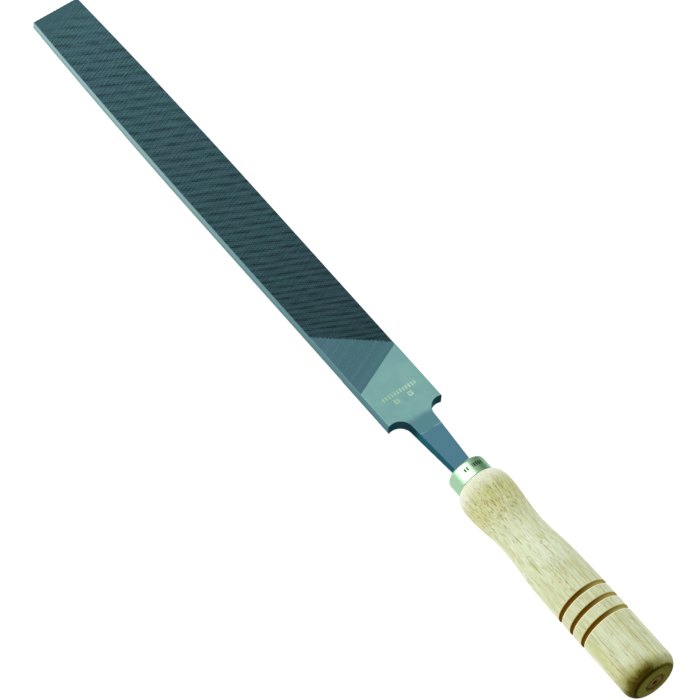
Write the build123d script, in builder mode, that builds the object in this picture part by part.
from build123d import *
from math import atan, cos, sin, sqrt
import os

# A flat hand file on a turned wooden handle, in millimetres.
# +X runs along the axis, from the butt of the handle to the tip of the file, and +Z stands out
# of the upper cut face. The origin is the middle of the whole tool, on its axis.
# "Behind the heel" means towards the handle from the blade's two shoulders.

# Overall lengths
BLADE_LENGTH = 300.0            # heel shoulders to tip
GRIP_REACH = 184.2              # heel shoulders to the butt of the handle
HEEL_X = GRIP_REACH - (BLADE_LENGTH + GRIP_REACH) / 2
TIP_X = HEEL_X + BLADE_LENGTH
BUTT_X = HEEL_X - GRIP_REACH

# Blade: parallel from the heel to its middle, then bellied in width and thickness to the tip
BLADE_WIDTH = 32.0
BLADE_THICKNESS = 6.5
TIP_WIDTH = 27.2
TIP_THICKNESS = 5.6
BELLY_X = HEEL_X + BLADE_LENGTH / 2

# Tang: a long wedge with round notches at the shoulders and a facet on each flat side
TANG_LENGTH = 80.0
TANG_ROOT_WIDTH = 14.2          # where the wedge's sides would meet the heel
TANG_END_WIDTH = 4.4
TANG_END_THICKNESS = 2.9
TANG_END_X = HEEL_X - TANG_LENGTH
FACET_X = HEEL_X - 12.2
NOTCH_RADIUS = 6.8

# Ferrule: a drawn cap whose front edge turns in
FERRULE_FRONT_X = HEEL_X - 39.0
FERRULE_BACK_X = HEEL_X - 48.8
FERRULE_RADIUS = 10.5
FERRULE_WALL = 0.8
FERRULE_LIP_RADIUS = 2.0
FERRULE_MOUTH_RADIUS = 7.8

# Handle profile: distances behind the heel, with the radius at each
NOSE_RADIUS = 10.1
SHOULDER_BACK = 58.3
SHOULDER_RADIUS = 14.0
WAIST_BACK = 83.2
WAIST_RADIUS = 12.05
SWELL_BACK = 104.0
SWELL_RADIUS = 13.65
BARREL_BACK = 135.2
BARREL_RADIUS = 14.35
BUTT_ROUNDING = 6.2
# Directions in which the profile leaves the nose, levels out, and passes the swell
NOSE_DIRECTION = (-0.3, 1)
LEVEL_DIRECTION = (-1, 0)
SWELL_DIRECTION = (-1, 0.06)

# Three grooves turned around the handle
GROOVE_COUNT = 3
GROOVE_FIRST_BACK = 130.9
GROOVE_SPACING = 8.4
GROOVE_TOOL_RADIUS = 1.2
GROOVE_DEPTH = 0.9

# Marks of the lathe in the butt
CENTRE_HOLE_RADIUS = 1.3
CENTRE_HOLE_DEPTH = 5.0
RING_RADIUS = 4.7
RING_WIDTH = 0.7
RING_DEPTH = 0.4

# Socket for the tang
SOCKET_CLEARANCE = 0.15
PILOT_RADIUS = 2.4
PILOT_DEPTH = 8.0               # past the end of the tang
TENON_FACE_X = FERRULE_FRONT_X - FERRULE_WALL
TENON_RADIUS = FERRULE_RADIUS - FERRULE_WALL
TENON_CHAMFER = FERRULE_LIP_RADIUS


def tang_size(x):
    """Width and thickness of the tang's wedge at x, behind its facets."""
    along = (HEEL_X - x) / TANG_LENGTH
    width = TANG_ROOT_WIDTH + (TANG_END_WIDTH - TANG_ROOT_WIDTH) * along
    along_facet = (FACET_X - x) / (FACET_X - TANG_END_X)
    thickness = BLADE_THICKNESS + (TANG_END_THICKNESS - BLADE_THICKNESS) * along_facet
    return width, thickness


# The notch is the arc of NOTCH_RADIUS that leaves the tang's side tangentially and ends at the
# shoulder's corner. notch_along is how far along the tang's side it starts, from the heel.
tang_slope = atan((TANG_ROOT_WIDTH - TANG_END_WIDTH) / 2 / TANG_LENGTH)
shoulder_step = (BLADE_WIDTH - TANG_ROOT_WIDTH) / 2
shoulder_gap = shoulder_step * cos(tang_slope)
notch_run = sqrt(NOTCH_RADIUS**2 - (shoulder_gap - NOTCH_RADIUS) ** 2)
notch_along = shoulder_step * sin(tang_slope) - notch_run
notch_start_x = HEEL_X + notch_along * cos(tang_slope)
notch_start_y = TANG_ROOT_WIDTH / 2 + notch_along * sin(tang_slope)

os.makedirs("parts", exist_ok=True)

# ---------------------------------------------------------------- blade and tang, one forging
with BuildPart() as file_blade:
    with BuildSketch(Plane.XY) as plan_view:
        with BuildLine() as plan_line:
            Line((TANG_END_X, 0), (TANG_END_X, TANG_END_WIDTH / 2))
            Line((TANG_END_X, TANG_END_WIDTH / 2), (notch_start_x, notch_start_y))
            RadiusArc((notch_start_x, notch_start_y), (HEEL_X, BLADE_WIDTH / 2), -NOTCH_RADIUS)
            Line((HEEL_X, BLADE_WIDTH / 2), (BELLY_X, BLADE_WIDTH / 2))
            TangentArc((BELLY_X, BLADE_WIDTH / 2), (TIP_X, TIP_WIDTH / 2), tangent=(1, 0))
            Line((TIP_X, TIP_WIDTH / 2), (TIP_X, 0))
            mirror(about=Plane.XZ)
        make_face()
    extrude(amount=BLADE_THICKNESS / 2, both=True)
    with BuildSketch(Plane.XZ) as side_view:
        with BuildLine() as side_line:
            Line((TANG_END_X, 0), (TANG_END_X, TANG_END_THICKNESS / 2))
            Line((TANG_END_X, TANG_END_THICKNESS / 2), (FACET_X, BLADE_THICKNESS / 2))
            Line((FACET_X, BLADE_THICKNESS / 2), (BELLY_X, BLADE_THICKNESS / 2))
            TangentArc((BELLY_X, BLADE_THICKNESS / 2), (TIP_X, TIP_THICKNESS / 2), tangent=(1, 0))
            Line((TIP_X, TIP_THICKNESS / 2), (TIP_X, 0))
            mirror(about=Plane.XZ)
        make_face()
    extrude(amount=BLADE_WIDTH, both=True, mode=Mode.INTERSECT)

file_blade.part.label = "file_blade"
export_step(file_blade.part, "parts/file_blade.step")

# ---------------------------------------------------------------- ferrule
with BuildPart() as ferrule:
    with BuildSketch(Plane.XY) as ferrule_section:
        with BuildLine() as ferrule_line:
            lip_start_x = FERRULE_FRONT_X - FERRULE_LIP_RADIUS
            lip_end_radius = FERRULE_RADIUS - FERRULE_LIP_RADIUS
            Line((FERRULE_BACK_X, FERRULE_RADIUS), (lip_start_x, FERRULE_RADIUS))
            TangentArc((lip_start_x, FERRULE_RADIUS), (FERRULE_FRONT_X, lip_end_radius), tangent=(1, 0))
            Line((FERRULE_FRONT_X, lip_end_radius), (FERRULE_FRONT_X, FERRULE_MOUTH_RADIUS))
            Line((FERRULE_FRONT_X, FERRULE_MOUTH_RADIUS), (TENON_FACE_X, FERRULE_MOUTH_RADIUS))
            Line((TENON_FACE_X, FERRULE_MOUTH_RADIUS), (TENON_FACE_X, lip_end_radius))
            TangentArc((TENON_FACE_X, lip_end_radius), (lip_start_x, TENON_RADIUS), tangent=(0, 1))
            Line((lip_start_x, TENON_RADIUS), (FERRULE_BACK_X, TENON_RADIUS))
            Line((FERRULE_BACK_X, TENON_RADIUS), (FERRULE_BACK_X, FERRULE_RADIUS))
        make_face()
    revolve(axis=Axis.X)

ferrule.part.label = "ferrule"
export_step(ferrule.part, "parts/ferrule.step")

# ---------------------------------------------------------------- handle
with BuildPart() as handle:
    with BuildSketch(Plane.XY) as handle_section:
        with BuildLine() as handle_line:
            rounding_x = BUTT_X + BUTT_ROUNDING
            butt_face_radius = BARREL_RADIUS - BUTT_ROUNDING
            barrel_x = HEEL_X - BARREL_BACK
            Line((TENON_FACE_X, 0), (TENON_FACE_X, TENON_RADIUS - TENON_CHAMFER))
            Line(
                (TENON_FACE_X, TENON_RADIUS - TENON_CHAMFER),
                (TENON_FACE_X - TENON_CHAMFER, TENON_RADIUS),
            )
            Line((TENON_FACE_X - TENON_CHAMFER, TENON_RADIUS), (FERRULE_BACK_X, TENON_RADIUS))
            Line((FERRULE_BACK_X, TENON_RADIUS), (FERRULE_BACK_X, NOSE_RADIUS))
            Spline(
                (FERRULE_BACK_X, NOSE_RADIUS),
                (HEEL_X - SHOULDER_BACK, SHOULDER_RADIUS),
                (HEEL_X - WAIST_BACK, WAIST_RADIUS),
                (HEEL_X - SWELL_BACK, SWELL_RADIUS),
                (barrel_x, BARREL_RADIUS),
                tangents=[
                    NOSE_DIRECTION,
                    LEVEL_DIRECTION,
                    LEVEL_DIRECTION,
                    SWELL_DIRECTION,
                    LEVEL_DIRECTION,
                ],
            )
            Line((barrel_x, BARREL_RADIUS), (rounding_x, BARREL_RADIUS))
            TangentArc((rounding_x, BARREL_RADIUS), (BUTT_X, butt_face_radius), tangent=(-1, 0))
            Line((BUTT_X, butt_face_radius), (BUTT_X, 0))
            Line((BUTT_X, 0), (TENON_FACE_X, 0))
        make_face()
    revolve(axis=Axis.X)

    # Grooves, the lathe's ring mark and its centre hole
    with BuildSketch(Plane.XY) as groove_section:
        groove_centre_radius = BARREL_RADIUS - GROOVE_DEPTH + GROOVE_TOOL_RADIUS
        groove_spots = [
            (HEEL_X - GROOVE_FIRST_BACK - index * GROOVE_SPACING, groove_centre_radius)
            for index in range(GROOVE_COUNT)
        ]
        with Locations(*groove_spots):
            Circle(GROOVE_TOOL_RADIUS)
    revolve(axis=Axis.X, mode=Mode.SUBTRACT)
    with BuildSketch(Plane.XY) as ring_section:
        with Locations((BUTT_X, RING_RADIUS)):
            Rectangle(2 * RING_DEPTH, RING_WIDTH)
    revolve(axis=Axis.X, mode=Mode.SUBTRACT)
    with Locations(Plane((BUTT_X, 0, 0), z_dir=(-1, 0, 0))):
        Hole(CENTRE_HOLE_RADIUS, depth=CENTRE_HOLE_DEPTH)

    # Socket: the tang's wedge with clearance all round, then the pilot hole past its end
    for section_x in (TENON_FACE_X, TANG_END_X):
        section_width, section_thickness = tang_size(section_x)
        with BuildSketch(Plane.YZ.offset(section_x)):
            Rectangle(section_width + 2 * SOCKET_CLEARANCE, section_thickness + 2 * SOCKET_CLEARANCE)
    loft(mode=Mode.SUBTRACT)
    with BuildSketch(Plane.YZ.offset(TANG_END_X)):
        Circle(PILOT_RADIUS)
    extrude(amount=-PILOT_DEPTH, mode=Mode.SUBTRACT)

handle.part.label = "handle"
export_step(handle.part, "parts/handle.step")
